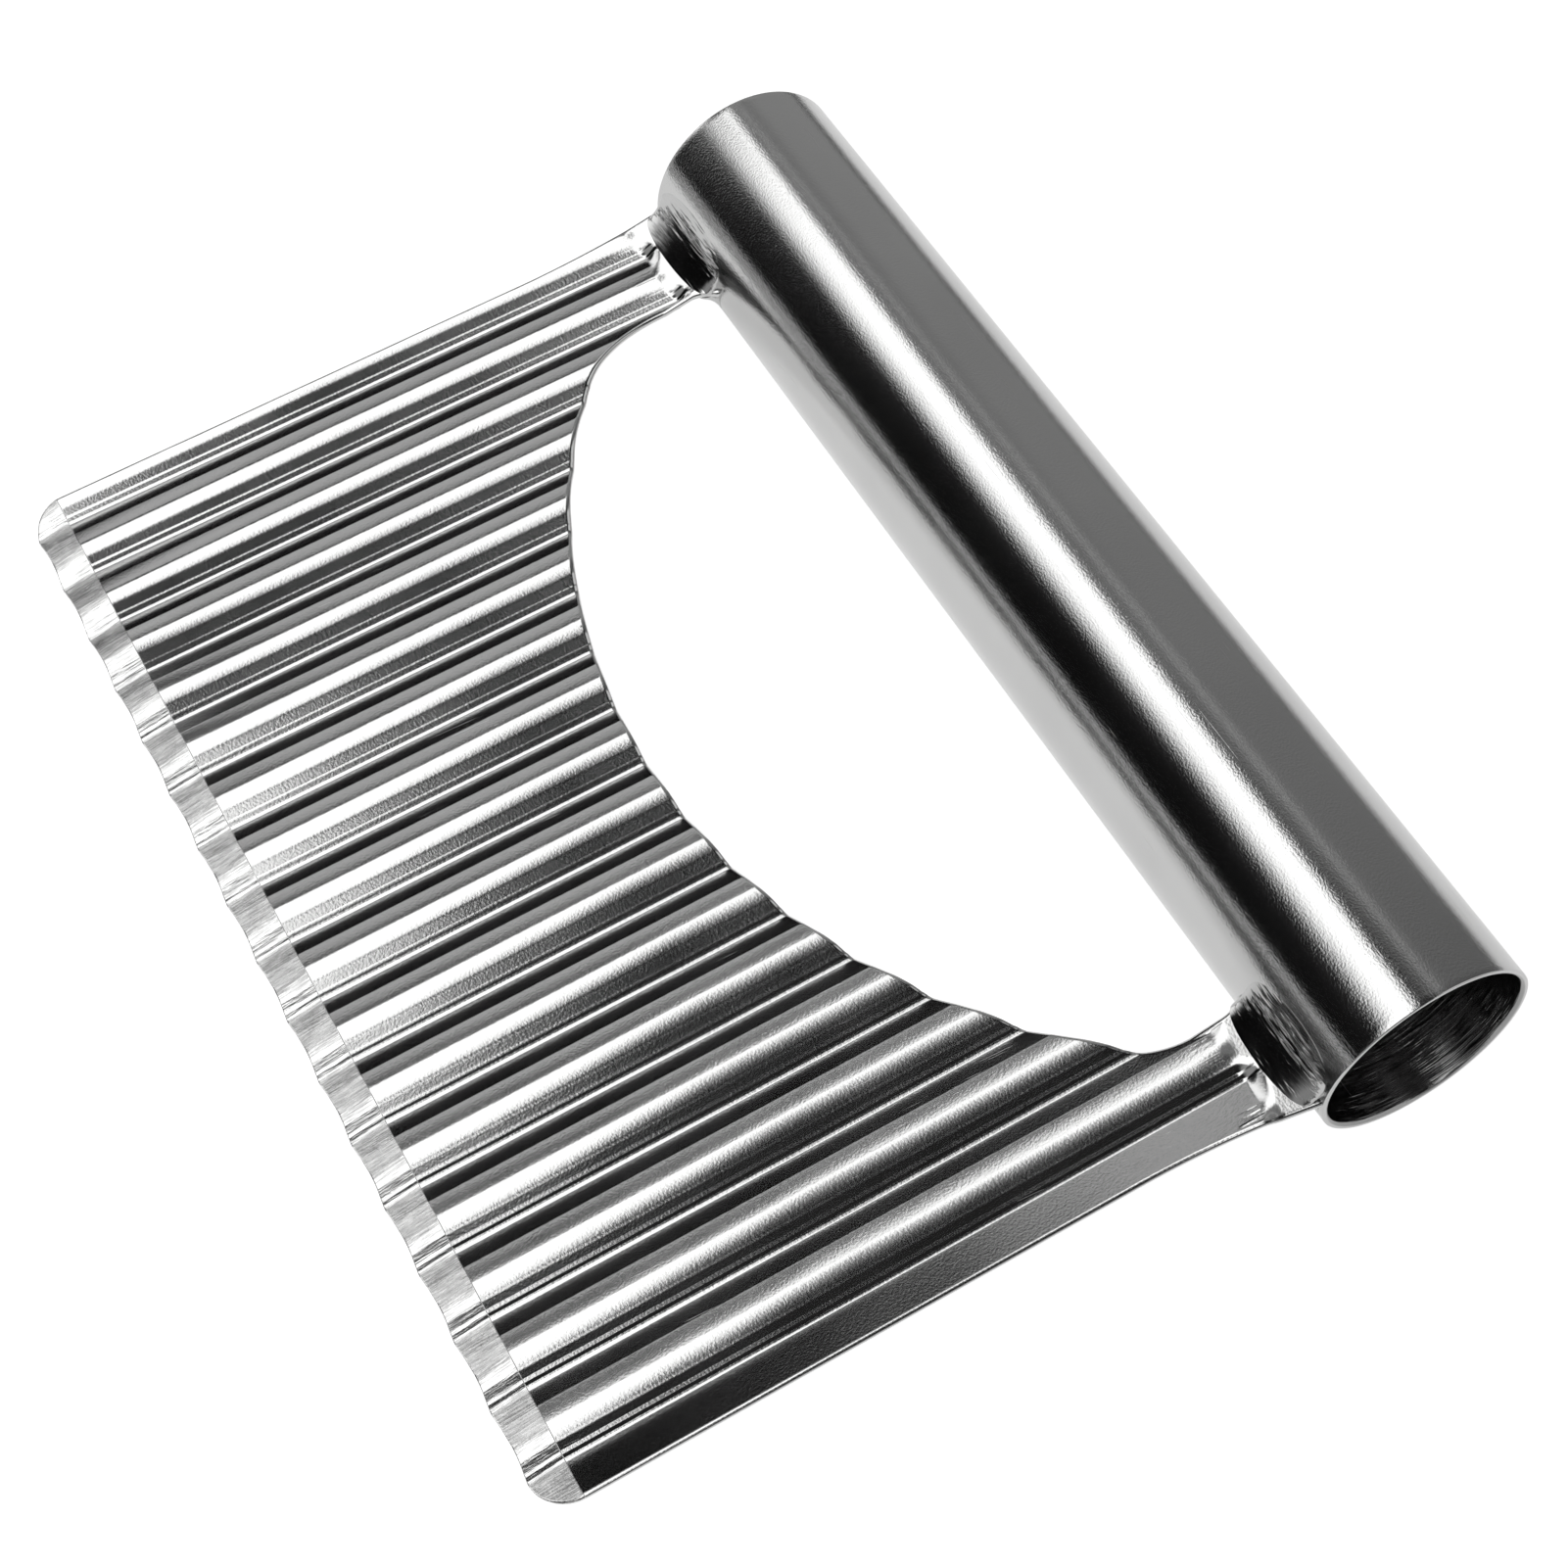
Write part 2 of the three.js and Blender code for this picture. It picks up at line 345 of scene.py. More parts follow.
class SteelEffects:
    """Shader node groups that the steel finishes share."""

    HAIRLINE_START = 0.8
    HAIRLINE_GAIN = 0.2
    HAIRLINE_BLUR = 0.06
    BREAK_RATE = 0.11
    BREAK_RANGE = (0.5, 0.62)
    SPECK_CORE = 0.4
    SPECK_THRESHOLD = 0.6

    def __init__(self) -> None:
        """Builds each group once."""
        self.grain = self._grain()
        self.hairlines = self._hairlines()
        self.specks = self._specks()

    def _grain(self) -> NodeTree:
        """Pebbly grain of rolled sheet, with broad cloudy patches.

        Returns:
            The group.
        """
        graph, given, put = new_group(
            "steel_grain", "ShaderNodeTree",
            {"Vector": VECTOR, "Stretch": VECTOR, "Patch Size": FLOAT}, {"Height": FLOAT, "Patches": FLOAT},
        )
        stretched = graph.vector_math("MULTIPLY", given["Vector"], given["Stretch"])
        graph.feed(put["Height"], graph.noise(stretched))
        per_patch = graph.math("DIVIDE", 1.0, given["Patch Size"])
        graph.feed(put["Patches"], graph.noise(graph.scale(given["Vector"], per_patch), detail=3.0))
        return graph.tree

    def _hairlines(self) -> NodeTree:
        """Fine scratches in one direction, as a mask.

        Returns:
            The group.
        """
        graph, given, put = new_group(
            "hairlines", "ShaderNodeTree",
            {"Vector": VECTOR, "Stretch": VECTOR, "Turn": FLOAT, "Amount": FLOAT}, {"Mask": FLOAT},
        )
        turned = graph.add(
            "ShaderNodeVectorRotate", {"Vector": given["Vector"], "Angle": given["Turn"]},
            rotation_type="Z_AXIS",
        ).outputs["Vector"]
        lines = graph.noise(graph.vector_math("MULTIPLY", turned, given["Stretch"]), detail=1.0)
        gain = graph.math("MULTIPLY", given["Amount"], self.HAIRLINE_GAIN)
        start = graph.math("SUBTRACT", self.HAIRLINE_START, gain)
        thin = graph.ramp(lines, start, graph.math("ADD", start, self.HAIRLINE_BLUR))
        broken = graph.ramp(graph.noise(given["Vector"], self.BREAK_RATE), *self.BREAK_RANGE)
        graph.feed(put["Mask"], graph.math("MULTIPLY", thin, broken))
        return graph.tree

    def _specks(self) -> NodeTree:
        """Scattered dust and tiny nicks, as a mask.

        Returns:
            The group.
        """
        graph, given, put = new_group(
            "specks", "ShaderNodeTree",
            {"Vector": VECTOR, "Spacing": FLOAT, "Size": FLOAT}, {"Mask": FLOAT},
        )
        frequency = graph.math("DIVIDE", 1.0, given["Spacing"])
        cells = graph.add("ShaderNodeTexVoronoi", {"Vector": given["Vector"], "Scale": frequency}).outputs
        radius = graph.math("DIVIDE", given["Size"], given["Spacing"])
        core = graph.math("MULTIPLY", radius, self.SPECK_CORE)
        dots = graph.ramp(cells["Distance"], radius, core)
        chosen = graph.math("GREATER_THAN", cells["Color"], self.SPECK_THRESHOLD)
        graph.feed(put["Mask"], graph.math("MULTIPLY", dots, chosen))
        return graph.tree


@dataclass(frozen=True)
class Coat:
    """Sockets that carry a finish: its colour, its roughness and its bump height."""

    colour: NodeSocket
    rough: NodeSocket
    height: NodeSocket


@dataclass(frozen=True)
class Grind:
    """Ground band along the cutting edge, its colour brightened by painted sheen; lengths are millimetres,
    rates per millimetre.
    """

    width: float
    blur: float = 0.05
    streak_rate: tuple[float, float, float] = (4.5, 0.35, 1.0)
    streak_depth: float = 0.05
    cloud_rate: tuple[float, float, float] = (0.9, 0.5, 0.5)
    cloud_share: float = 0.5
    # Range of the painted sheen: two streak values and the factors on the band's colour there.
    painted_sheen: tuple[float, float, float, float] = (0.5, 1.0, 0.8, 1.45)
    roughness: float = 0.1

    def apply(self, graph: Graph, where: NodeSocket, coat: Coat) -> Coat:
        """Adds the streaks that grinding leaves to the bump, and brightens the band's colour in streaks and
        clouds as painted sheen.

        Args:
            graph: The material's graph.
            where: Pattern coordinates.
            coat: The finish without the grind.

        Returns:
            The finish with the grind.
        """
        away = graph.add("ShaderNodeSeparateXYZ", {"Vector": where}).outputs["Y"]
        ground = graph.ramp(away, self.width + self.blur, self.width - self.blur)
        streaks = graph.noise(graph.vector_math("MULTIPLY", where, self.streak_rate), detail=3.0)
        cloud = graph.noise(graph.vector_math("MULTIPLY", where, self.cloud_rate))
        # Painted sheen: streaks and clouds brighten the ground band's colour as a painted highlight; the
        # bump carries the real grind marks.
        painted_sheen = graph.math("MULTIPLY_ADD", cloud, self.cloud_share, streaks)
        painted_sheen = graph.blend(ground, 1.0, graph.ramp(painted_sheen, *self.painted_sheen, "LINEAR"))
        marks = graph.math("MULTIPLY", graph.math("MULTIPLY", streaks, ground), self.streak_depth * MM)
        rough = graph.math("MULTIPLY_ADD", ground, self.roughness, coat.rough)
        return Coat(graph.scale(coat.colour, painted_sheen), rough, graph.math("ADD", coat.height, marks))


@dataclass(frozen=True)
class Bow:
    """Slight hollow of the sheet that only its shading shows.

    The curvatures are per millimetre. In front of the middle the hollow along the sheet changes from
    side to side: each fade is two places on X and the shares there.
    """

    along: float = 0.0035
    along_middle: float = 38.0
    across: float = 0.0013
    across_middle: float = -10.0
    inner_fade: tuple[float, float, float, float] = (-50.0, -20.0, 1.0, 0.35)
    outer_fade: tuple[float, float, float, float] = (-72.0, -44.0, 0.4, 1.0)

    def apply(self, graph: Graph, where: NodeSocket, coat: Coat) -> Coat:
        """Adds the hollow, from edge to handle and from side to side.

        Args:
            graph: The material's graph.
            where: Pattern coordinates.
            coat: The finish of a flat sheet.

        Returns:
            The finish of the hollow one.
        """
        place = graph.add("ShaderNodeSeparateXYZ", {"Vector": where}).outputs
        behind = graph.math("SUBTRACT", place["Y"], self.along_middle)
        ahead = graph.math("MULTIPLY", behind, -1.0)
        rear, front = (graph.math("POWER", graph.math("MAXIMUM", d, 0.0), 2.0) for d in (behind, ahead))
        inner, outer = (graph.ramp(place["X"], *fade) for fade in (self.inner_fade, self.outer_fade))
        both = graph.math("MULTIPLY_ADD", front, graph.math("MULTIPLY", inner, outer), rear)
        along = graph.math("MULTIPLY", both, self.along / 2 * MM)
        aside = graph.math("SUBTRACT", place["X"], self.across_middle)
        across = graph.math("MULTIPLY", aside, aside)
        hollow = graph.math("MULTIPLY_ADD", across, self.across / 2 * MM, along)
        return replace(coat, height=graph.math("ADD", coat.height, hollow))


@dataclass(frozen=True)
class Bore:
    """Inside of the tube, its colour darkened as painted shade, with fine ridges around it; millimetres, and
    rates per millimetre.
    """

    # Factor of the painted shade on the bore's colour.
    shade: float = 0.6
    ridge_height: float = 0.035
    ridge_rate: tuple[float, float, float] = (12.0, 0.3, 0.3)

    def apply(self, graph: Graph, where: NodeSocket, coat: Coat) -> Coat:
        """Darkens the bore's colour as painted shade and adds its ridges.

        Args:
            graph: The material's graph.
            where: Pattern coordinates.
            coat: The finish of the tube's outside.

        Returns:
            The finish with the bore.
        """
        inside = graph.add("ShaderNodeAttribute", attribute_name=BORE_ATTRIBUTE).outputs["Fac"]
        # Painted shade: the colour is scaled down inside the bore.
        painted_bore_shade = graph.blend(inside, 1.0, self.shade)
        ridges = graph.noise(graph.vector_math("MULTIPLY", where, self.ridge_rate), detail=0.0)
        ridges = graph.math("MULTIPLY", ridges, inside)
        height = graph.math("MULTIPLY_ADD", ridges, self.ridge_height * MM, coat.height)
        return replace(coat, colour=graph.scale(coat.colour, painted_bore_shade), height=height)


@dataclass(frozen=True)
class SteelFinish:
    """One finish of stainless steel; lengths are millimetres."""

    name: str
    pattern: Pattern
    dark: float
    light: float
    roughness: float
    roughness_spread: float
    grain_size: tuple[float, float, float]
    grain_height: float
    patch_size: float
    hairline_size: tuple[float, float, float]
    hairline_turn: float
    hairline_amount: float
    speck_spacing: float = 6.0
    speck_size: float = 0.07
    wear_roughness: float = 0.25
    wear_depth: float = 0.003
    blue_share: float = 0.995
    extras: tuple[Grind | Bow | Bore, ...] = ()

    def material(self, effects: SteelEffects) -> Material:
        """Builds the node material.

        Args:
            effects: The shared node groups.

        Returns:
            The material.
        """
        material = bpy.data.materials.new(self.name)
        graph = empty_graph(material)
        where = self._coordinates(graph)
        coat = self._plain_coat(graph, effects, where)
        for extra in self.extras:
            coat = extra.apply(graph, where, coat)
        bump = graph.add("ShaderNodeBump", {"Strength": 1.0, "Distance": 1.0, "Height": coat.height})
        shader = graph.add("ShaderNodeBsdfPrincipled", {
            "Base Color": coat.colour, "Metallic": 1.0, "Roughness": coat.rough,
            "Normal": bump.outputs["Normal"],
        })
        graph.add("ShaderNodeOutputMaterial", {"Surface": shader.outputs["BSDF"]})
        return material

    def _coordinates(self, graph: Graph) -> NodeSocket:
        """Pattern coordinates in millimetres.

        Args:
            graph: The material's graph.

        Returns:
            The vector output.
        """
        if self.pattern is Pattern.SHEET:
            return graph.add("ShaderNodeAttribute", attribute_name=self.pattern.value).outputs["Vector"]
        return graph.scale(graph.add("ShaderNodeTexCoord").outputs[self.pattern.value], 1 / MM)

    def _plain_coat(self, graph: Graph, effects: SteelEffects, where: NodeSocket) -> Coat:
        """The steel with its grain and its wear, all over the piece.

        Args:
            graph: The material's graph.
            effects: The shared node groups.
            where: Pattern coordinates.

        Returns:
            The finish.
        """
        grain = graph.add("ShaderNodeGroup", {
            "Vector": where, "Stretch": tuple(1 / size for size in self.grain_size),
            "Patch Size": self.patch_size,
        }, node_tree=effects.grain).outputs
        hairlines = graph.add("ShaderNodeGroup", {
            "Vector": where, "Stretch": tuple(1 / size for size in self.hairline_size),
            "Turn": self.hairline_turn, "Amount": self.hairline_amount,
        }, node_tree=effects.hairlines).outputs
        specks = graph.add("ShaderNodeGroup", {
            "Vector": where, "Spacing": self.speck_spacing, "Size": self.speck_size,
        }, node_tree=effects.specks).outputs
        wear = graph.math("MAXIMUM", hairlines["Mask"], specks["Mask"])
        shades = [(level, level, level * self.blue_share, 1.0) for level in (self.dark, self.light)]
        colour = graph.mix(grain["Patches"], *shades)
        spread = graph.math("SUBTRACT", grain["Patches"], 0.5)
        rough = graph.math("MULTIPLY_ADD", spread, self.roughness_spread, self.roughness)
        rough = graph.math("MULTIPLY_ADD", wear, self.wear_roughness, rough)
        height = graph.math("MULTIPLY", grain["Height"], self.grain_height * MM)
        height = graph.math("MULTIPLY_ADD", wear, -self.wear_depth * MM, height)
        return Coat(colour, rough, height)


@dataclass(frozen=True)
class Bend:
    """A bend across the corrugation: where it starts, how wide it is and how it turns the slope."""

    start: float
    width: float
    turn: float


@dataclass
class Blade:
    """Corrugated sheet with a ground edge, two arms and a D-shaped finger opening.

    The pairs opening_radius and arm_width belong to the left and the right arm, margin_slopes to the edge
    and the noses, row_counts to the rows on the blade and on the noses. The bevel_rows are shares of the
    bevel's width, and curve_steps are the steps along the side, the outer flare and the inner flare.
    """

    pitch: float = 8.22
    waves: int = 17
    wave_shift: float = -0.45
    wave_depth: float = 1.2
    valley_slope: float = -0.05
    bends: tuple[Bend, ...] = (
        Bend(0.0, 0.28, 0.42),
        Bend(2.1, 0.2, -0.13),
        Bend(2.3, 1.85, -0.05),
        Bend(4.15, 0.55, -0.21),
        Bend(4.7, 1.3, -0.25),
        Bend(6.0, 0.5, -0.35),
        Bend(7.1, 0.15, 0.36),
        Bend(7.4, 0.15, -0.43),
        Bend(7.75, 0.3, 0.64),
    )
    bend_step: float = 0.08
    thickness: float = 0.9
    bevel_width: float = 4.0
    edge_thickness: float = 0.15
    roll_steps: int = 8
    rim: float = 0.1
    edge_sweep: float = 0.25
    corner_radius: float = 4.25
    depth: float = 47.2
    finger_gap: float = 38.95
    opening_radius: tuple[float, float] = (19.0, 10.0)
    arm_width: tuple[float, float] = (13.3, 11.5)
    arm_length: float = 6.6
    outer_flare_length: float = 20.0
    inner_flare_length: float = 3.0
    inner_flare: float = 1.2
    foot_reach: float = 1.8
    seat_gap: float = 0.3
    foot_sink: float = 0.9
    margin_slopes: tuple[float, float] = (0.385, 0.285)
    nose_length: float = 2.2
    nose_round: float = 1.0
    nose_spacing: float = 0.3
    flat_length: float = 2.9
    foot_lift: float = 0.5
    spacing: float = 0.35
    curve_steps: tuple[int, int, int] = (80, 40, 12)
    bevel_rows: tuple[float, ...] = (-0.2, 0.2, 0.4, 0.6, 0.8, 0.975, 1.0, 1.025, 1.1)
    bevel_clearance: float = 2.0
    row_counts: tuple[int, int] = (22, 12)
    merge_distance: float = 1e-4
    wobble: float = 0.08
    wobble_size: float = 16.0

    @property
    def half_width(self) -> float:
        """Half of the blade's width."""
        return self.pitch * self.waves / 2

    @property
    def tube_face(self) -> float:
        """Distance from the edge to the tube's surface."""
        return self.depth + self.finger_gap

    @property
    def foot_end(self) -> float:
        """Distance from the edge to the end of the arms, a seat gap before the tube."""
        return self.tube_face - self.seat_gap

    @property
    def margin_start(self) -> float:
        """The last valley line, after which the sheet runs out flat on the right."""
        return self.wave_shift + self.pitch * math.floor((self.half_width - self.wave_shift) / self.pitch)

    @property
    def edge_drop(self) -> float:
        """Depth of the lowest edge point under the middle of the sheet."""
        return (self.wave_depth + self.thickness) / 2

    def foot_span(self, side: Side) -> tuple[float, float]:
        """Inner and outer end of a foot, measured out from the middle."""
        width = self.arm_width[side is Side.RIGHT]
        return self.half_width - width - self.inner_flare, self.half_width + self.foot_reach

    def _half_outline(self, side: Side) -> list[tuple[float, float]]:
        """Half of the plan outline, from the edge round one arm to the middle of the opening.

        Args:
            side: Arm to go round.

        Returns:
            The points in order, as if the arm were on the right.
        """
        half, corner, end = self.half_width, self.corner_radius, self.foot_end
        inner_foot, outer_foot = self.foot_span(side)
        inner = inner_foot + self.inner_flare
        radius = self.opening_radius[side is Side.RIGHT]
        centre = (inner - radius, end - self.arm_length)
        rise = centre[1] - self.depth
        sweep = (centre[0] ** 2 + rise ** 2 - radius ** 2) / (2 * (rise - radius))
        turn = math.atan2(centre[0], self.depth + sweep - centre[1]) - math.pi / 2
        flare, neck = end - self.outer_flare_length, end - self.inner_flare_length
        side_steps, flare_steps, neck_steps = self.curve_steps
        points = arc_points((half - corner, corner), corner, -math.pi / 2, 0.0, self.spacing)
        points += bezier_points((half, corner), (half, (corner + flare) / 2), (half, flare), side_steps)[1:]
        bend = (half, (flare + end) / 2)
        points += bezier_points((half, flare), bend, (outer_foot, end), flare_steps)[1:]
        points += [(outer_foot, end + self.foot_sink), (inner_foot, end + self.foot_sink)]
        points += bezier_points((inner_foot, end), (inner, (neck + end) / 2), (inner, neck), neck_steps)
        points += arc_points(centre, radius, 0.0, turn, self.spacing)
        points += arc_points((0.0, self.depth + sweep), sweep, turn, -math.pi / 2, self.spacing)[1:]
        return points

    def _outline(self) -> np.ndarray:
        """Plan outline of the blade, anticlockwise, set in by the roll of its edge.

        Returns:
            The corners, one row each.
        """
        right = self._half_outline(Side.RIGHT)
        left = [(-x, y) for x, y in self._half_outline(Side.LEFT)]
        loop = np.array(right + left[::-1][1:])
        return loop - outward(loop) * self._roll(loop)

    def _roll(self, loop: np.ndarray) -> np.ndarray:
        """Radius that the sides are rolled to at each corner: half of the sheet, which the grind thins."""
        ground = np.clip(loop[:, 1:] / self.bevel_width, 0.0, 1.0)
        return (self.edge_thickness + (self.thickness - self.edge_thickness) * ground) / 2

    def _columns(self) -> list[float]:
        """Places across the blade that follow the bends of every wave.

        Returns:
            The places in order.
        """
        offsets = {0.0}
        for bend in self.bends:
            steps = max(3, math.ceil(abs(bend.turn) / self.bend_step))
            offsets.update(bend.start + bend.width * step / steps for step in range(steps + 1))
        reach = self.half_width + self.foot_reach
        firsts = [self.wave_shift + self.pitch * k for k in range(-self.waves, self.waves + 1)]
        places = [first + offset for first in firsts for offset in offsets]
        return sorted(place for place in places if abs(place) < reach)

    def _rows(self) -> list[float]:
        """Places from the edge to the feet, close together where the sheet changes.

        Returns:
            The places in order.
        """
        flat = self.foot_end - self.flat_length
        nose, clear = flat - self.nose_length, self.bevel_width + self.bevel_clearance
        blade_rows, nose_rows = self.row_counts
        rows = [self.bevel_width * share for share in self.bevel_rows]
        rows += np.linspace(clear, nose, blade_rows).tolist()
        rows += np.linspace(nose, flat, nose_rows)[1:].tolist()
        return rows + [self.foot_end - self.flat_length / 2, self.foot_end]

    def _plan(self) -> tuple[np.ndarray, list[tuple[int, int, int]], list[int]]:
        """Triangulates the plan between the outline and the columns.

        Returns:
            Corner places, triangles and the corners of the outer loop in order.
        """
        outline, columns, rows = self._outline(), self._columns(), self._rows()
        points = [Vector(corner) for corner in outline.tolist()]
        inset = outline - outward(outline) * self.rim
        edges = [(len(points) + i, len(points) + (i + 1) % len(inset)) for i in range(len(inset))]
        points += [Vector(corner) for corner in inset.tolist()]
        for x in columns:
            edges += [(len(points) + i, len(points) + i + 1) for i in range(len(rows) - 1)]
            points += [Vector((x, y)) for y in rows]
        points += self._nose_points()
        result = delaunay_2d_cdt(points, edges, [list(range(len(outline)))], 0, self.merge_distance)
        corners, faces, sources = result[0], result[2], result[5]
        kept = [tuple(face) for face, source in zip(faces, sources) if source]
        used = sorted({corner for face in kept for corner in face})
        number = {old: new for new, old in enumerate(used)}
        triangles = [tuple(number[corner] for corner in face) for face in kept]
        sides = {(face[i], face[(i + 1) % 3]) for face in triangles for i in range(3)}
        following = {a: b for a, b in sides if (b, a) not in sides}
        loop = [min(following)]
        while following[loop[-1]] != loop[0]:
            loop.append(following[loop[-1]])
        return np.array([corners[old] for old in used]), triangles, loop

    def _nose_points(self) -> list[Vector]:
        """A fine net of points on the arms, where the ridges run out.

        Returns:
            The points.
        """
        last = self.foot_end - self.flat_length / 2
        ys = np.arange(last - self.nose_length - self.flat_length, last, self.nose_spacing)
        inner = self.half_width - max(self.arm_width) - self.inner_flare
        xs = np.arange(inner, self.half_width + self.foot_reach, self.nose_spacing)
        return [Vector((side.value * x, y)) for side in Side for x in xs for y in ys]

    def _slab(self) -> Mesh:
        """Flat closed slab with rolled sides; its layer attribute runs from -1 below to 1 above.

        Returns:
            The mesh, in millimetres and at no height.
        """
        plan, triangles, loop = self._plan()
        count, size = len(plan), len(loop)
        away = outward(plan[loop]) * self._roll(plan[loop])
        layers = [np.ones(count), -np.ones(count)]
        places = [plan, plan]
        rings = [np.array(loop)]
        for step in range(1, self.roll_steps):
            angle = math.pi * step / self.roll_steps
            places.append(plan[loop] + away * math.sin(angle))
            layers.append(np.full(size, math.cos(angle)))
            rings.append(2 * count + (step - 1) * size + np.arange(size))
        rings.append(np.array(loop) + count)
        faces = triangles + [tuple(count + corner for corner in face[::-1]) for face in triangles]
        for upper, lower in zip(rings, rings[1:]):
            after_upper, after_lower = np.roll(upper, -1), np.roll(lower, -1)
            faces += list(zip(lower.tolist(), after_lower.tolist(), after_upper.tolist(), upper.tolist()))
        flat = np.concatenate(places)
        mesh = solid_mesh("blade", np.column_stack((flat, np.zeros(len(flat)))), faces)
        layer = mesh.attributes.new("layer", "FLOAT", "POINT")
        layer.data.foreach_set("value", np.concatenate(layers).astype(np.float32))
        return mesh

    def _inputs(self, pose: RestPose, material: Material) -> dict[str, object]:
        """What the corrugation is fed.

        Args:
            pose: How the tool lies.
            material: Finish of the sheet.

        Returns:
            Each value, by the name of the tree's input.
        """
        nose_end = self.foot_end - self.flat_length
        front_slope, rear_slope = self.margin_slopes
        values = {
            "Pitch": self.pitch, "Wave Shift": self.wave_shift, "Wave Depth": self.wave_depth,
            "Valley Slope": self.valley_slope, "Margin Start": self.margin_start,
            "Margin Front Slope": front_slope, "Margin Rear Slope": rear_slope,
            "Thickness": self.thickness, "Edge Thickness": self.edge_thickness,
            "Bevel Width": self.bevel_width, "Edge Sweep": self.edge_sweep,
            "Nose Start": nose_end - self.nose_length, "Nose End": nose_end,
            "Nose Round": self.nose_round, "Foot Lift": self.foot_lift,
            "Wobble": self.wobble, "Wobble Size": self.wobble_size,
            "Tilt": pose.tilt, "Scale": MM, "Shift": tuple(pose.shift), "Material": material,
        }
        for i, bend in enumerate(self.bends):
            values[f"Bend {i} Start"] = bend.start
            values[f"Bend {i} Width"] = bend.width
            values[f"Bend {i} Turn"] = bend.turn
        return values

    def _corrugation(self, values: dict[str, object]) -> NodeTree:
        """Geometry nodes that press the waves into the flat slab and grind its edge.

        Args:
            values: What the tree's inputs will hold, by name.

        Returns:
            The tree.
        """
        kinds = {float: FLOAT, tuple: VECTOR, Material: MATERIAL}
        sockets = {name: kinds[type(value)] for name, value in values.items()}
        graph, given, put = new_group(
            "corrugation", "GeometryNodeTree", {"Geometry": GEOMETRY, **sockets}, {"Geometry": GEOMETRY},
        )
        position = graph.add("GeometryNodeInputPosition").outputs[0]
        place = graph.add("ShaderNodeSeparateXYZ", {"Vector": position}).outputs
        x, y = place["X"], place["Y"]
        height = self._wave_height(graph, given, x, y)
        layer = graph.add("GeometryNodeInputNamedAttribute", {"Name": "layer"}, data_type="FLOAT").outputs[0]
        below = graph.math("MULTIPLY", given["Thickness"], -0.5)
        thicknesses = given["Edge Thickness"], given["Thickness"]
        thick = graph.ramp(y, 0.0, given["Bevel Width"], *thicknesses, "LINEAR")
        share = graph.math("MULTIPLY_ADD", layer, 0.5, 0.5)
        z = graph.math("ADD", height, graph.math("MULTIPLY_ADD", thick, share, below))
        sweep = graph.ramp(y, 0.0, given["Bevel Width"], given["Edge Sweep"], 0.0, "LINEAR")
        swept = graph.math("MULTIPLY_ADD", height, sweep, y)
        local = graph.add("ShaderNodeCombineXYZ", {"X": x, "Y": swept, "Z": z}).outputs[0]
        stored = graph.add(
            "GeometryNodeStoreNamedAttribute",
            {"Geometry": given["Geometry"], "Name": Pattern.SHEET.value, "Value": local},
            data_type="FLOAT_VECTOR", domain="POINT",
        )
        turned = graph.add(
            "ShaderNodeVectorRotate", {"Vector": local, "Angle": given["Tilt"]}, rotation_type="X_AXIS",
        ).outputs["Vector"]
        world = graph.vector_math("ADD", graph.scale(turned, given["Scale"]), given["Shift"])
        moved = graph.add("GeometryNodeSetPosition", {"Geometry": stored.outputs[0], "Position": world})
        real = graph.add("GeometryNodeRealizeInstances", {"Geometry": moved.outputs[0]})
        inputs = {"Geometry": real.outputs[0], "Material": given["Material"]}
        graph.feed(put["Geometry"], graph.add("GeometryNodeSetMaterial", inputs).outputs[0])
        return graph.tree

    def _wave_height(self, graph: Graph, given: NodeOutputs, x: NodeSocket,
                     y: NodeSocket) -> NodeSocket:
        """Height of the pressed sheet over its middle plane.

        Args:
            graph: The tree's graph.
            given: Outputs of the tree's input node.
            x: Place along the edge.
            y: Place from the edge to the handle.

        Returns:
            The height.
        """
        shifted = graph.math("SUBTRACT", x, given["Wave Shift"])
        turns = graph.math("FLOOR", graph.math("DIVIDE", shifted, given["Pitch"]))
        u = graph.math("SUBTRACT", shifted, graph.math("MULTIPLY", turns, given["Pitch"]))
        height = self._pressed(graph, given, u)
        whole = self._pressed(graph, given, given["Pitch"])
        level = graph.math("DIVIDE", graph.math("MULTIPLY", whole, u), given["Pitch"])
        height = graph.math("SUBTRACT", height, level)
        beyond = graph.math("SUBTRACT", x, given["Margin Start"])
        slopes = given["Margin Front Slope"], given["Margin Rear Slope"]
        lean = graph.ramp(y, 0.0, given["Nose Start"], *slopes, "LINEAR")
        margin = graph.math("MULTIPLY", beyond, lean)
        outside = graph.math("GREATER_THAN", beyond, 0.0)
        height = graph.blend(outside, height, margin)
        height = graph.math("MULTIPLY_ADD", given["Wave Depth"], -0.5, height)
        frequency = graph.math("DIVIDE", 1.0, given["Wobble Size"])
        plan = graph.add("ShaderNodeCombineXYZ", {"X": x, "Y": y}).outputs[0]
        uneven = graph.add("ShaderNodeTexNoise", {"Vector": plan, "Scale": frequency, "Detail": 1.0})
        centred = graph.math("SUBTRACT", uneven.outputs[0], 0.5)
        height = graph.math("MULTIPLY_ADD", centred, given["Wobble"], height)
        reach = graph.math("MULTIPLY_ADD", height, given["Nose Round"], y)
        flat = graph.ramp(reach, given["Nose Start"], given["Nose End"])
        return graph.blend(flat, height, given["Foot Lift"])

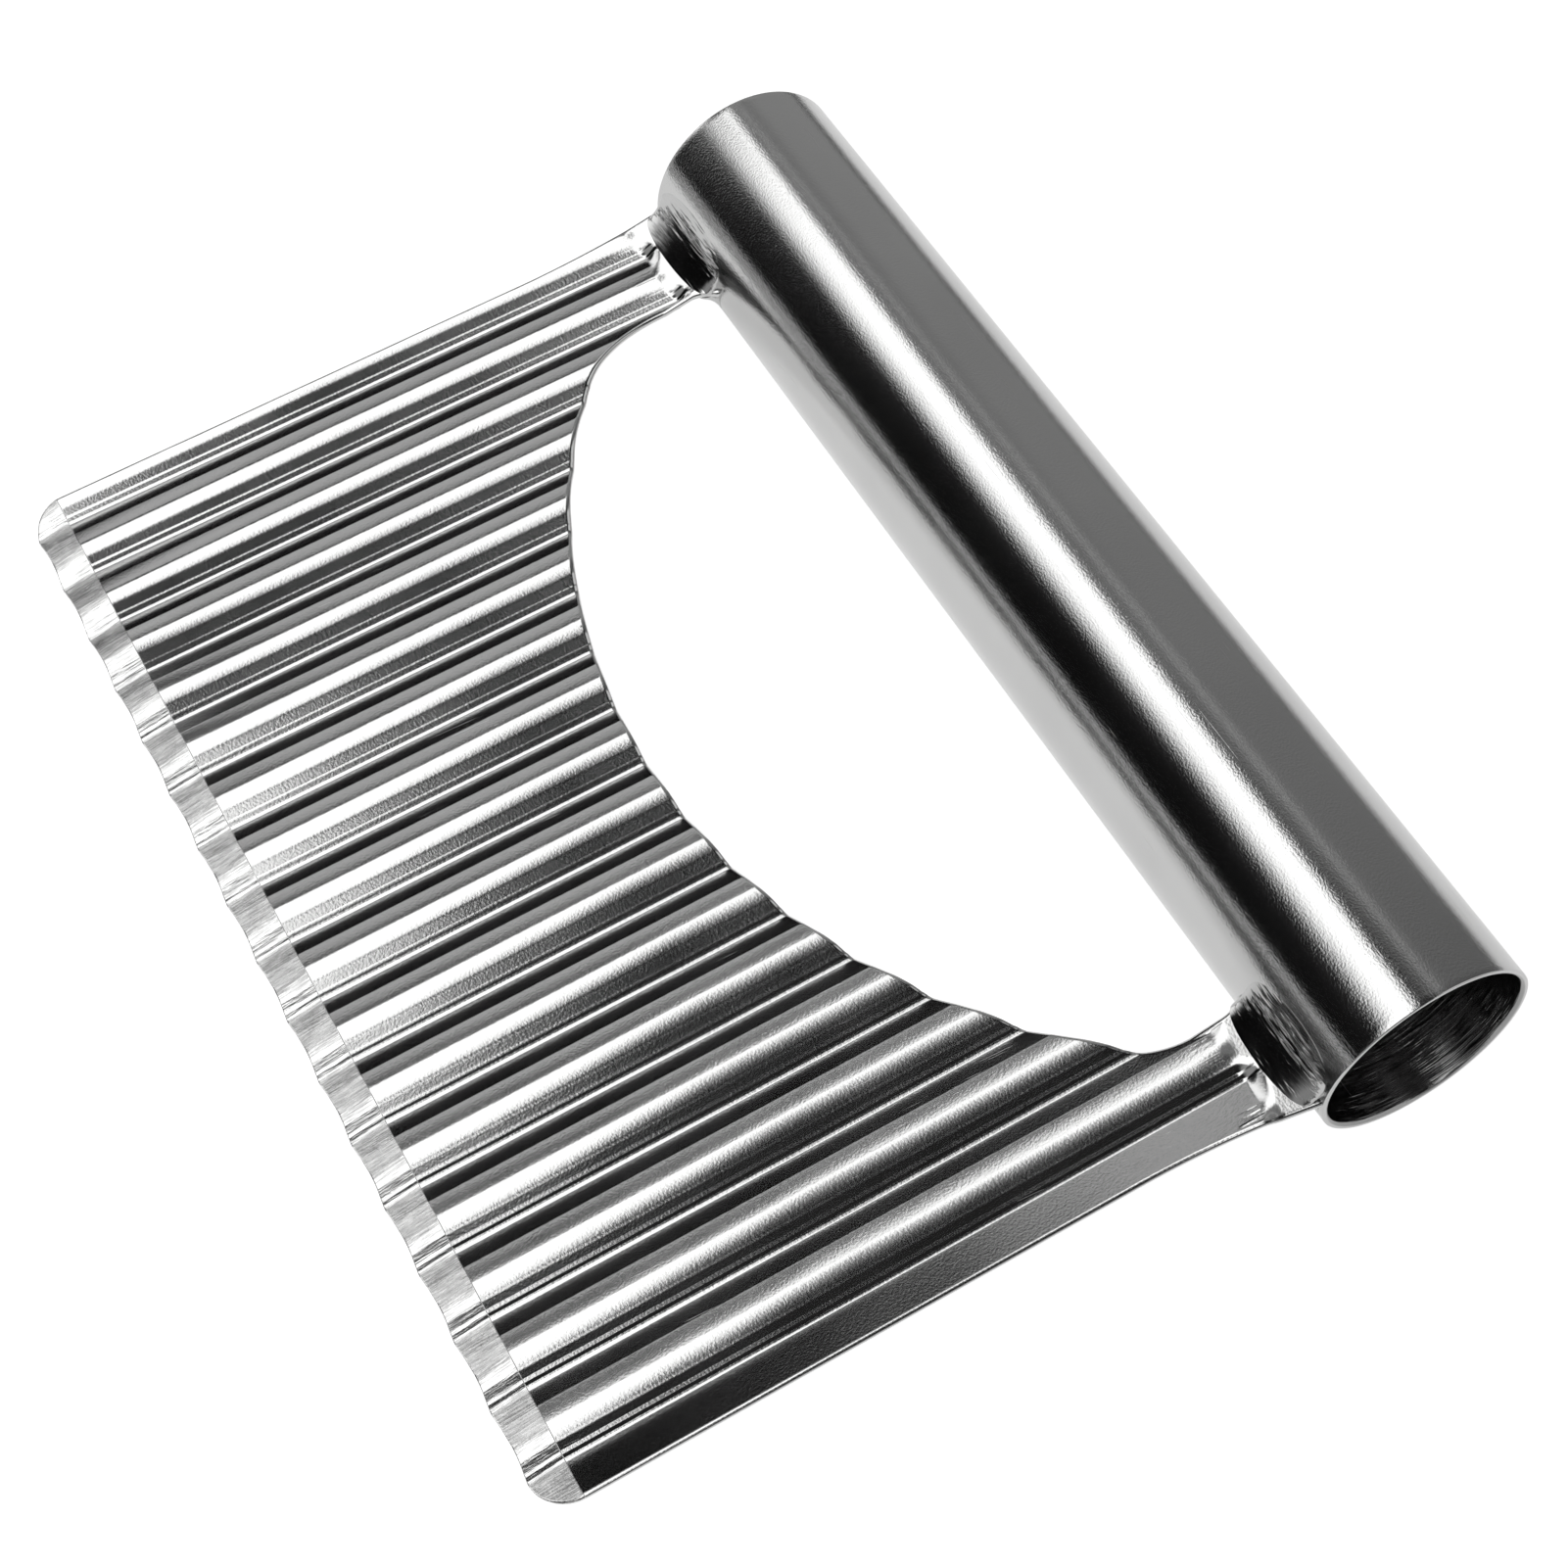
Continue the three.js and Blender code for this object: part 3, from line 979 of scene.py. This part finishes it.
    def _pressed(self, graph: Graph, given: NodeOutputs,
                 u: NodeSocket) -> NodeSocket:
        """Height that the bends add up to at a distance from the valley line.

        Args:
            graph: The tree's graph.
            given: Outputs of the tree's input node.
            u: Distance from the valley line.

        Returns:
            The height over the valley line.
        """
        height = graph.math("MULTIPLY", u, given["Valley Slope"])
        for i in range(len(self.bends)):
            start, width, turn = (given[f"Bend {i} {part}"] for part in ("Start", "Width", "Turn"))
            along = graph.math("DIVIDE", graph.math("SUBTRACT", u, start), width)
            inside = graph.ramp(along, 0.0, 1.0, kind="LINEAR")
            past = graph.math("MAXIMUM", graph.math("SUBTRACT", along, 1.0), 0.0)
            rise = graph.math("MULTIPLY_ADD", graph.math("MULTIPLY", inside, inside), 0.5, past)
            height = graph.math("MULTIPLY_ADD", graph.math("MULTIPLY", turn, width), rise, height)
        return height

    def build(self, pose: RestPose, material: Material) -> Object:
        """Builds the blade and dresses it.

        Args:
            pose: How the tool lies.
            material: Finish of the sheet.

        Returns:
            The blade.
        """
        blade = new_object("corrugated_blade", self._slab())
        modifier = blade.modifiers.new("corrugation", "NODES")
        values = self._inputs(pose, material)
        modifier.node_group = self._corrugation(values)
        for item in modifier.node_group.interface.items_tree:
            if item.in_out == "INPUT" and item.name in values:
                modifier[item.identifier] = values[item.name]
        evaluated = blade.evaluated_get(bpy.context.evaluated_depsgraph_get())
        pressed = bpy.data.meshes.new_from_object(evaluated)
        blade.modifiers.clear()
        blade.data = pressed
        pressed.name = "corrugated_blade"
        pressed.attributes.remove(pressed.attributes["layer"])
        pressed.shade_smooth()
        return blade


@dataclass
class HandleTube:
    """Thin-walled tube, open at both ends."""

    axis_distance: float
    radius: float = 12.5
    wall: float = 0.8
    length: float = 143.74
    rim_round: float = 0.15
    bore_round: float = 0.42
    rim_steps: int = 5
    segments: int = 192
    stations: int = 24

    def _profile(self) -> list[tuple[float, float]]:
        """Section of the wall through the axis, as places along X and radii.

        Returns:
            The corners in order.
        """
        end, inner, rim, lead = self.length / 2, self.radius - self.wall, self.rim_round, self.bore_round
        quarter = math.pi / 2
        turn = quarter / self.rim_steps
        right = arc_points((end - rim, self.radius - rim), rim, quarter, 0.0, rim * turn)
        right += arc_points((end - lead, inner + lead), lead, 0.0, -quarter, lead * turn)
        left = [(-x, r) for x, r in right[::-1]]
        reach = end - max(rim, lead)
        places = [reach * (2 * station / self.stations - 1) for station in range(1, self.stations)]
        places = [lead - reach, *places, reach - lead]
        outer = [(x, self.radius) for x in places]
        bore = [(-x, inner) for x in places]
        return outer + right + bore + left

    def build(self, pose: RestPose, material: Material) -> Object:
        """Builds the tube and dresses it.

        Args:
            pose: How the tool lies.
            material: Finish of the tube.

        Returns:
            The tube.
        """
        profile = self._profile()
        rings = []
        for segment in range(self.segments):
            angle = 2 * math.pi * segment / self.segments
            c, s = math.cos(angle), math.sin(angle)
            rings += [(x, self.axis_distance + r * c, r * s) for x, r in profile]
        faces = ring_faces(self.segments, len(profile), closed=True)
        mesh = solid_mesh("tube_handle", np.array(rings), faces)
        # Marks the bore, whose colour the tube's material darkens as painted shade.
        inside = [float(r < self.radius - self.wall / 2) for x, r in profile] * self.segments
        mesh.attributes.new(BORE_ATTRIBUTE, "FLOAT", "POINT").data.foreach_set("value", inside)
        pose.place(mesh)
        mesh.materials.append(material)
        return new_object("tube_handle", mesh)


@dataclass
class WeldFillet:
    """Hollow weld bead between a foot of the blade and the tube."""

    axis_distance: float
    tube_radius: float
    sheet_thickness: float
    foot_lift: float
    foot_leg: float = 3.1
    tube_leg: float = 5.2
    toe: float = 0.02
    sink: float = 0.25
    fullness: float = 0.38
    end_inset: float = 0.5
    end_scale: float = 0.1
    end_power: float = 0.5
    sharp_angle: float = math.radians(40.0)
    stations: int = 64
    face_steps: int = 14

    def _section(self, size: float, face: Face) -> list[tuple[float, float]]:
        """Section across the bead: sunk into foot and tube, with a hollow face.

        Args:
            size: Share of the full legs.
            face: Face of the sheet.

        Returns:
            The corners in order, as places along Y and away from the sheet.
        """
        seat = self.sheet_thickness / 2 + face.value * self.foot_lift
        skin = self.tube_radius + self.toe
        low = math.asin(seat / self.tube_radius)
        high = low + self.tube_leg * size / self.tube_radius
        top = (self.axis_distance - skin * math.cos(high), skin * math.sin(high))
        root = self.axis_distance - self.tube_radius * math.cos(low)
        toe = (root - self.foot_leg * size, seat + self.toe)
        lean = (skin - toe[1] * math.sin(high)) / math.cos(high)
        corner = (self.axis_distance - lean, toe[1])
        pull = tuple(c + (t - c) * self.fullness for c, t in zip(corner, top))
        hollow = bezier_points(toe, pull, top, self.face_steps)
        deep = self.tube_radius - self.sink
        angles = (high, (low + high) / 2)
        back = [(self.axis_distance - deep * math.cos(a), deep * math.sin(a)) for a in angles]
        return hollow + back + [(root + self.sink, seat - self.sink), (toe[0], seat - self.sink)]

    def build(self, name: str, span: tuple[float, float], side: Side, face: Face, pose: RestPose,
              material: Material) -> Object:
        """Builds one bead and dresses it.

        Args:
            name: Name of the piece.
            span: Inner and outer end of the foot.
            side: Arm that the bead is on.
            face: Face of the sheet that it lies on.
            pose: How the tool lies.
            material: Finish of the bead.

        Returns:
            The bead.
        """
        centre, half = (span[0] + span[1]) / 2, (span[1] - span[0]) / 2 - self.end_inset
        points = []
        for station in range(self.stations + 1):
            around = math.pi * (station / self.stations - 1)
            x = half * math.cos(around)
            size = self.end_scale + (1 - self.end_scale) * (-math.sin(around)) ** self.end_power
            points += [(side.value * (centre + x), y, face.value * z) for y, z in self._section(size, face)]
        ring = len(points) // (self.stations + 1)
        faces = ring_faces(self.stations + 1, ring, closed=False)
        faces += [tuple(range(ring))[::-1], tuple(range(self.stations * ring, (self.stations + 1) * ring))]
        if side.value * face.value < 0:
            faces = [corners[::-1] for corners in faces]
        mesh = solid_mesh(name, np.array(points), faces)
        mesh.set_sharp_from_angle(angle=self.sharp_angle)
        pose.place(mesh)
        mesh.materials.append(material)
        return new_object(name, mesh)


@dataclass(frozen=True)
class Room:
    """Brightness of the surroundings by direction.

    A range is where a change starts and ends along one axis of the direction; wall_range is taken along
    wall_towards, and gap_width is how far Y / Z is from gap_lean. Two levels belong to the two ends of a
    range, and left_fade holds a range and then its levels.
    """

    wall_towards: tuple[float, float, float] = (-0.75, 0.65, -0.1)
    wall_range: tuple[float, float] = (0.0, 0.35)
    shade_range: tuple[float, float] = (-0.6, -0.2)
    shade_levels: tuple[float, float] = (0.004, 0.013)
    left_level: float = 0.76
    left_skirting: tuple[float, float] = (0.4, 0.47)
    left_fade: tuple[float, float, float, float] = (0.5, 0.64, 1.0, 0.33)
    left_reach_x: tuple[float, float] = (-0.66, -0.74)
    left_reach_y: tuple[float, float] = (-0.12, -0.02)
    edge_range: tuple[float, float] = (-0.15, -0.28)
    edge_level: float = 0.95
    rear_start: tuple[float, float] = (0.2, 0.5)
    rear_range: tuple[float, float] = (-0.2, -0.65)
    rear_levels: tuple[float, float] = (0.14, 0.38)
    gap_lean: float = 0.26
    gap_width: tuple[float, float] = (0.05, 0.01)
    gap_range: tuple[float, float] = (0.45, 0.6)
    gap_level: float = 0.4
    right_range: tuple[float, float] = (0.8, 0.92)
    right_level: float = 0.35
    front_fill_x: tuple[float, float] = (-0.2, 0.15)
    front_fill_y: tuple[float, float] = (-0.45, -0.75)
    front_fill_level: float = 0.4
    rear_fill_x: tuple[float, float] = (0.0, 0.3)
    rear_fill_y: tuple[float, float] = (0.14, 0.36)
    rear_fill_level: float = 0.9
    below_start: tuple[float, float] = (0.0, -0.1)
    below_range: tuple[float, float] = (-0.6, 0.6)
    below_levels: tuple[float, float] = (0.1, 0.8)
    shown_level: float = 1.3

    def build(self) -> None:
        """Builds the world that the steel mirrors; the camera itself sees plain white."""
        world = bpy.data.worlds.new("studio")
        bpy.context.scene.world = world
        graph = empty_graph(world)
        direction = graph.add("ShaderNodeTexCoord").outputs["Generated"]
        parts = graph.add("ShaderNodeSeparateXYZ", {"Vector": direction}).outputs
        x, y, z = (parts[axis] for axis in "XYZ")
        inputs = {0: direction, 1: self.wall_towards}
        towards = graph.add("ShaderNodeVectorMath", inputs, operation="DOT_PRODUCT").outputs["Value"]
        shade = graph.ramp(y, *self.shade_range, *self.shade_levels)
        walls = self._walls(graph, x, y, z)
        level = graph.blend(graph.ramp(towards, *self.wall_range), shade, walls)
        level = self._fills(graph, x, y, level)
        below = graph.ramp(x, *self.below_range, *self.below_levels)
        level = graph.blend(graph.ramp(z, *self.below_start), level, below)
        room = graph.add("ShaderNodeBackground", {"Strength": level})
        white = graph.add("ShaderNodeBackground", {"Strength": self.shown_level})
        seen = graph.add("ShaderNodeLightPath").outputs["Is Camera Ray"]
        shown = graph.add("ShaderNodeMixShader", {0: seen, 1: room.outputs[0], 2: white.outputs[0]})
        graph.add("ShaderNodeOutputWorld", {"Surface": shown.outputs[0]})

    def _walls(self, graph: Graph, x: NodeSocket, y: NodeSocket,
               z: NodeSocket) -> NodeSocket:
        """A pale wall over a dark skirting on the left, a grey one behind, a slit between light and wall.

        Args:
            graph: The world's graph.
            x: Direction along X.
            y: Direction along Y.
            z: Direction along Z.

        Returns:
            The level.
        """
        bare = graph.math("MAXIMUM", graph.ramp(z, *self.left_skirting), graph.ramp(y, *self.edge_range))
        left = graph.math("MULTIPLY", bare, graph.ramp(z, *self.left_fade))
        left = graph.math("MULTIPLY", left, self.left_level)
        left = graph.math("ADD", left, graph.ramp(y, *self.edge_range, 0.0, self.edge_level))
        reach = graph.math("MAXIMUM", graph.ramp(x, *self.left_reach_x), graph.ramp(y, *self.left_reach_y))
        left = graph.math("MULTIPLY", left, reach)
        rear = graph.ramp(x, *self.rear_range, *self.rear_levels, "LINEAR")
        wall = graph.blend(graph.ramp(y, *self.rear_start), left, rear)
        lean = graph.math("SUBTRACT", graph.math("DIVIDE", y, z), self.gap_lean)
        gap = graph.ramp(graph.math("ABSOLUTE", lean), *self.gap_width, 0.0, self.gap_level)
        return graph.math("ADD", wall, graph.math("MULTIPLY", gap, graph.ramp(z, *self.gap_range)))

    def _fills(self, graph: Graph, x: NodeSocket, y: NodeSocket,
               level: NodeSocket) -> NodeSocket:
        """Adds dim light from the right, the front right and the rear right.

        Args:
            graph: The world's graph.
            x: Direction along X.
            y: Direction along Y.
            level: Level without these lights.

        Returns:
            The level with them.
        """
        level = graph.math("ADD", level, graph.ramp(x, *self.right_range, 0.0, self.right_level))
        front = graph.math("MULTIPLY", graph.ramp(x, *self.front_fill_x), graph.ramp(y, *self.front_fill_y))
        level = graph.math("MULTIPLY_ADD", front, self.front_fill_level, level)
        rear = graph.math("MULTIPLY", graph.ramp(x, *self.rear_fill_x), graph.ramp(y, *self.rear_fill_y))
        return graph.math("MULTIPLY_ADD", rear, self.rear_fill_level, level)


@dataclass
class Studio:
    """White table, soft overhead light, the room around them and the camera; lengths in millimetres.

    A pair of the table is where its mirrored white starts and ends. The light is described in its own
    plane, with X along it and Y to the rear. Its depth changes over light_step: it is whole down to
    light_full and gone at light_depth. Its rear edge moves over light_widening from one light_corner to
    the other and is soft for light_rear. Its left end changes over light_reach, from the first of
    light_ends to light_far, and its glow comes up within light_left.
    """

    room: Room = Room()
    table_size: float = 6000.0
    table_colour: float = 0.8
    table_colour_shown: float = 0.3
    table_glow: float = 0.45
    table_shown: float = 0.95
    table_front: tuple[float, float] = (-78.0, -60.0)
    table_far: tuple[float, float] = (-150.0, -230.0)
    table_left: tuple[float, float] = (-260.0, -160.0)
    table_right: tuple[float, float] = (200.0, 110.0)
    light_height: float = 350.0
    light_edge: float = -17.0
    light_turn: float = math.radians(-14.0)
    light_ends: tuple[float, float] = (-410.0, 252.0)
    light_frame: float = 65.0
    light_frame_blur: float = 15.0
    light_left: tuple[float, float] = (110.0, 60.0)
    light_reach: tuple[float, float] = (75.0, 45.0)
    light_far: float = -450.0
    light_right: float = 50.0
    light_rear: float = 18.0
    light_step: tuple[float, float] = (-60.0, 60.0)
    light_widening: tuple[float, float] = (60.0, 240.0)
    light_corner: tuple[float, float] = (-8.0, 44.0)
    light_full: tuple[float, float] = (100.0, 200.0)
    light_depth: tuple[float, float] = (320.0, 420.0)
    light_strength: float = 1.8
    camera_place: tuple[float, float, float] = (157.70, -87.75, 255.11)
    camera_aim: tuple[float, float, float] = (12.76, 1.38, 12.5)
    camera_roll: float = math.radians(3.074)
    focal_length: float = 63.60
    sensor_width: float = 36.0
    clip_start: float = 10.0

    def build(self) -> None:
        """Builds table, light, surroundings and camera."""
        self._table()
        self._softbox()
        self.room.build()
        self._camera()
        bpy.context.scene.view_settings.view_transform = "Standard"

    @staticmethod
    def _sheet(name: str, low: tuple[float, float],
               high: tuple[float, float]) -> tuple[Object, Graph]:
        """A flat rectangle at no height with an empty material.

        Args:
            name: Name of the object.
            low: Its low corner.
            high: Its high corner.

        Returns:
            The object and its material's graph.
        """
        (x0, y0), (x1, y1) = low, high
        corners = np.array([(x0, y0, 0), (x1, y0, 0), (x1, y1, 0), (x0, y1, 0)]) * MM
        sheet = new_object(name, solid_mesh(name, corners, [(0, 1, 2, 3)]))
        material = bpy.data.materials.new(name)
        sheet.data.materials.append(material)
        return sheet, empty_graph(material)

    @staticmethod
    def _flat_place(graph: Graph) -> tuple[NodeSocket, NodeSocket]:
        """Place on a sheet.

        Args:
            graph: The sheet's material graph.

        Returns:
            Millimetres along X and along Y.
        """
        place = graph.scale(graph.add("ShaderNodeTexCoord").outputs["Object"], 1 / MM)
        parts = graph.add("ShaderNodeSeparateXYZ", {"Vector": place}).outputs
        return parts["X"], parts["Y"]

    def _table(self) -> Object:
        """The white table; the steel mirrors it only around the tool and, past a dark strip, far in front.

        Returns:
            The table.
        """
        half = self.table_size / 2
        table, graph = self._sheet("white_table", (-half, -half), (half, half))
        x, y = self._flat_place(graph)
        seen = graph.add("ShaderNodeLightPath").outputs["Is Camera Ray"]
        lit = graph.math("MULTIPLY", graph.ramp(y, *self.table_front), graph.ramp(x, *self.table_left))
        lit = graph.math("MULTIPLY", lit, graph.ramp(x, *self.table_right))
        lit = graph.math("MAXIMUM", lit, graph.ramp(y, *self.table_far))
        colour = graph.blend(seen, graph.math("MULTIPLY", lit, self.table_colour), self.table_colour_shown)
        level = graph.blend(seen, graph.math("MULTIPLY", lit, self.table_glow), self.table_shown)
        diffuse = graph.add("ShaderNodeBsdfDiffuse", {"Color": colour})
        glow = graph.add("ShaderNodeEmission", {"Strength": level})
        both = graph.add("ShaderNodeAddShader", {0: diffuse.outputs[0], 1: glow.outputs[0]})
        below = graph.add("ShaderNodeNewGeometry").outputs["Backfacing"]
        clear = graph.add("ShaderNodeBsdfTransparent")
        shown = graph.add("ShaderNodeMixShader", {0: below, 1: both.outputs[0], 2: clear.outputs[0]})
        graph.add("ShaderNodeOutputMaterial", {"Surface": shown.outputs[0]})
        return table

    def _softbox(self) -> Object:
        """The overhead light, which thins out towards the front and has a dark frame at its left end.

        Returns:
            The light panel.
        """
        left, right = self.light_ends
        outer = self.light_far - 2 * self.light_frame
        corners = (outer, -max(self.light_depth)), (right, max(self.light_corner))
        panel, graph = self._sheet("softbox", *corners)
        x, y = self._flat_place(graph)
        full = graph.ramp(x, *self.light_step, *(-depth for depth in self.light_full))
        none = graph.ramp(x, *self.light_step, *(-depth for depth in self.light_depth))
        cover = graph.ramp(y, none, full)
        edge = graph.ramp(x, *self.light_widening, *self.light_corner)
        inside = graph.ramp(graph.math("SUBTRACT", edge, y), 0.0, self.light_rear)
        cover = graph.math("MULTIPLY", cover, inside)
        reach = tuple(-depth for depth in self.light_reach)
        start = graph.ramp(y, *reach, left, self.light_far)
        along = graph.math("SUBTRACT", x, start)
        fade = graph.ramp(y, *reach, *self.light_left)
        glow = graph.ramp(along, 0.0, fade, 0.0, self.light_strength)
        frame_end = -self.light_frame - self.light_frame_blur
        cover = graph.math("MULTIPLY", cover, graph.ramp(along, frame_end, -self.light_frame))
        cover = graph.math("MULTIPLY", cover, graph.ramp(x, right, right - self.light_right))
        light = graph.add("ShaderNodeEmission", {"Strength": glow})
        clear = graph.add("ShaderNodeBsdfTransparent")
        shown = graph.add("ShaderNodeMixShader", {0: cover, 1: clear.outputs[0], 2: light.outputs[0]})
        graph.add("ShaderNodeOutputMaterial", {"Surface": shown.outputs[0]})
        place = Vector((0.0, self.light_edge, self.light_height)) * MM
        panel.matrix_world = Matrix.Translation(place) @ Matrix.Rotation(self.light_turn, 4, "Z")
        panel.visible_camera = False
        return panel

    def _camera(self) -> None:
        """The camera where the photograph was taken from."""
        data = bpy.data.cameras.new("camera")
        data.sensor_width = self.sensor_width
        data.lens = self.focal_length
        data.clip_start = self.clip_start * MM
        camera = bpy.data.objects.new("camera", data)
        bpy.context.scene.collection.objects.link(camera)
        place, aim = Vector(self.camera_place) * MM, Vector(self.camera_aim) * MM
        look = (aim - place).to_track_quat("-Z", "Y").to_matrix().to_4x4()
        camera.matrix_world = Matrix.Translation(place) @ look @ Matrix.Rotation(self.camera_roll, 4, "Z")
        bpy.context.scene.camera = camera


def finishes() -> dict[str, SteelFinish]:
    """The steel finishes, by the material slot they belong to.

    Returns:
        One finish a slot.
    """
    blade = SteelFinish(
        "pressed_sheet_steel", Pattern.SHEET, dark=0.60, light=0.68, roughness=0.14, roughness_spread=0.04,
        grain_size=(0.25, 0.29, 0.25), grain_height=0.0085, patch_size=9.0, hairline_size=(0.12, 14.0, 1.0),
        hairline_turn=0.06, hairline_amount=0.3, extras=(Grind(Blade.bevel_width), Bow()),
    )
    tube = SteelFinish(
        "drawn_tube_steel", Pattern.OBJECT, dark=0.58, light=0.66, roughness=0.14, roughness_spread=0.05,
        grain_size=(0.25, 0.22, 0.22), grain_height=0.019, patch_size=14.0, hairline_size=(18.0, 0.12, 0.12),
        hairline_turn=0.0, hairline_amount=0.35, extras=(Bore(),),
    )
    weld = SteelFinish(
        "polished_weld_steel", Pattern.OBJECT, dark=0.5, light=0.62, roughness=0.12, roughness_spread=0.1,
        grain_size=(6.0, 0.8, 0.8), grain_height=0.13, patch_size=3.0, hairline_size=(6.0, 0.2, 0.2),
        hairline_turn=0.3, hairline_amount=0.2,
    )
    return {"blade_steel": blade, "tube_steel": tube, "weld_steel": weld}


def add_piece(piece: Object, node: str) -> None:
    """Puts a piece on the part in place of its CAD node.

    Args:
        piece: The finished piece.
        node: CAD node that it stands for.
    """
    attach(piece, "root")
    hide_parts(node)
    LOG.info("%s: %d faces in place of %s", piece.name, len(piece.data.polygons), node)


def main() -> None:
    """Builds the studio and then each piece of the tool."""
    logging.basicConfig(level=logging.INFO, format="%(name)s %(message)s")
    Studio().build()
    effects = SteelEffects()
    steels = {slot: finish.material(effects) for slot, finish in finishes().items()}
    blade = Blade()
    tube = HandleTube(axis_distance=blade.tube_face + HandleTube.radius)
    pose = RestPose.on_table(tube.axis_distance, blade.edge_drop)
    add_piece(blade.build(pose, steels["blade_steel"]), "blade")
    add_piece(tube.build(pose, steels["tube_steel"]), "handle_tube")
    weld = WeldFillet(tube.axis_distance, tube.radius, blade.thickness, blade.foot_lift)
    for side in Side:
        for face in Face:
            node = f"weld_{side.name.lower()}_{face.name.lower()}"
            name = f"weld_bead_{side.name.lower()}_{face.name.lower()}"
            bead = weld.build(name, blade.foot_span(side), side, face, pose, steels["weld_steel"])
            add_piece(bead, node)


if __name__ == "__main__":
    main()
